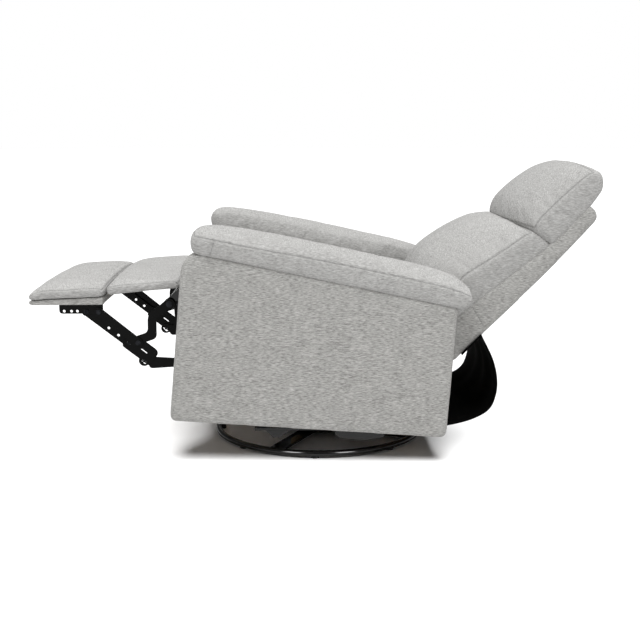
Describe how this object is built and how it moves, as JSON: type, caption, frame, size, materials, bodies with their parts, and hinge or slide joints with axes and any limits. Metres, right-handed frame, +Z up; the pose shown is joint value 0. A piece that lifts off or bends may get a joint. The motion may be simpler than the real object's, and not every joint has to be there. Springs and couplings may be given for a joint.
{
  "type": "rocker recliner",
  "caption": "Upholstered swivel rocker recliner on a floor ring, with a reclining back that slides its seat and a footrest on a folding link mechanism.",
  "frame": {"origin": "on the floor at the swivel axis, in the middle of the floor ring", "axes": "+Z up, the sitter faces -Y, the sitter's left is +X, in the pictured pose: back reclined and footrest out"},
  "size_m": [0.714, 1.419, 0.7345],
  "materials": {
    "black_steel": "semi-gloss black paint",
    "rivet_steel": "dark oiled steel",
    "bearing_steel": "plain steel",
    "spring_steel": "oiled spring steel",
    "rubber": "matte black rubber",
    "frame_wood": "raw plywood",
    "gray_fabric_panels": "warm gray heathered weave",
    "gray_fabric_cushions": "warm gray heathered weave",
    "black_cloth": "matte black non-woven cloth",
    "webbing": "woven elastic webbing"
  },
  "bodies": {
    "base": {"base_ring": "black_steel", "base_cross": "black_steel", "floor_feet": "rubber", "swivel_spindle": "black_steel", "spindle_nut": "black_steel", "swivel_bearing": "bearing_steel"},
    "rocker_base": {"swivel_plate": "black_steel", "rocker_front_bar": "black_steel", "rocker_rear_bar": "black_steel", "rocker_rails": "black_steel", "fulcrum_pads": "rubber", "rock_stops": "rubber", "rocker_springs": "spring_steel"},
    "chair_body": {"rocker_cams": "black_steel", "body_side_rails": "frame_wood", "body_front_board": "frame_wood", "body_rear_board": "frame_wood", "arm_panel_left": "gray_fabric_panels", "arm_panel_right": "gray_fabric_panels", "arm_pad_left": "gray_fabric_cushions", "arm_pad_right": "gray_fabric_cushions", "back_pivot_brackets": "black_steel", "seat_tracks": "black_steel", "rear_dust_cloth": "black_cloth"},
    "back": {"back_shell": "gray_fabric_panels", "back_side_stiles": "frame_wood", "back_cross_rails": "frame_wood", "back_webbing": "webbing", "back_hinge_plates": "black_steel", "back_cushion": "gray_fabric_cushions", "headrest_pillow": "gray_fabric_cushions"},
    "seat": {"seat_side_plates": "black_steel", "seat_front_rail": "frame_wood", "seat_rear_rail": "frame_wood", "seat_springs": "spring_steel", "seat_cushion": "gray_fabric_cushions", "seat_apron": "black_cloth", "seat_rollers": "black_steel", "flap_hinge_rod": "black_steel", "lower_link_rivets": "rivet_steel"},
    "drive_link": {"torque_tube": "black_steel", "drive_links": "black_steel", "drive_link_rivets": "rivet_steel"},
    "long_link": {"long_links": "black_steel", "long_link_rivets": "rivet_steel"},
    "short_link": {"short_links": "black_steel"},
    "lower_link": {"lower_links": "black_steel"},
    "footrest": {"footrest_brackets": "black_steel", "footrest_rivets": "rivet_steel", "footrest_board": "gray_fabric_panels", "footrest_pad": "gray_fabric_cushions"},
    "flap": {"flap_pad": "gray_fabric_cushions"}
  },
  "joints": [
    {"name": "swivel", "type": "hinge", "parent": "base", "child": "rocker_base", "pos_m": [0, 0, 0.02], "axis": [0, 0, 1], "continuous": true},
    {"name": "rock", "type": "hinge", "parent": "rocker_base", "child": "chair_body", "pos_m": [0, 0, 0.076], "axis": [1, 0, 0], "range_deg": [0, 10], "stiffness_Nm_per_rad": 300, "springref_deg": -2.86, "deforming": ["rocker_springs"]},
    {"name": "back_recline", "type": "hinge", "parent": "chair_body", "child": "back", "pos_m": [0, 0.255, 0.3], "axis": [1, 0, 0], "range_deg": [0, 30], "deforming": ["rear_dust_cloth"]},
    {"name": "seat_slide", "type": "slide", "parent": "chair_body", "child": "seat", "axis": [0, 1, 0], "range_m": [0, 0.0631]},
    {"name": "footrest_fold", "type": "hinge", "parent": "seat", "child": "drive_link", "pos_m": [0, -0.378, 0.389], "axis": [1, 0, 0], "range_deg": [0, 96]},
    {"name": "long_link_turn", "type": "hinge", "parent": "drive_link", "child": "long_link", "pos_m": [0, -0.482, 0.29], "axis": [1, 0, 0], "range_deg": [-40.2, 0]},
    {"name": "footrest_turn", "type": "hinge", "parent": "long_link", "child": "footrest", "pos_m": [0, -0.585, 0.3705], "axis": [1, 0, 0], "range_deg": [0, 34]},
    {"name": "short_link_turn", "type": "hinge", "parent": "drive_link", "child": "short_link", "pos_m": [0, -0.4577, 0.292], "axis": [1, 0, 0], "range_deg": [-41.4, 0]},
    {"name": "lower_link_turn", "type": "hinge", "parent": "seat", "child": "lower_link", "pos_m": [0, -0.356, 0.385], "axis": [1, 0, 0], "range_deg": [0, 91.2]},
    {"name": "flap_turn", "type": "hinge", "parent": "seat", "child": "flap", "pos_m": [0, -0.352, 0.4274], "axis": [1, 0, 0], "range_deg": [0, 34.1]}
  ],
  "couplings": [
    {"joint": "seat_slide", "follows": "back_recline", "m_per_rad": 0.12032},
    {"joint": "long_link_turn", "follows": "footrest_fold", "ratio": -0.417},
    {"joint": "footrest_turn", "follows": "footrest_fold", "ratio": 0.353},
    {"joint": "short_link_turn", "follows": "footrest_fold", "ratio": -0.43},
    {"joint": "lower_link_turn", "follows": "footrest_fold", "ratio": 0.949},
    {"joint": "flap_turn", "follows": "footrest_fold", "ratio": 0.354}
  ]
}
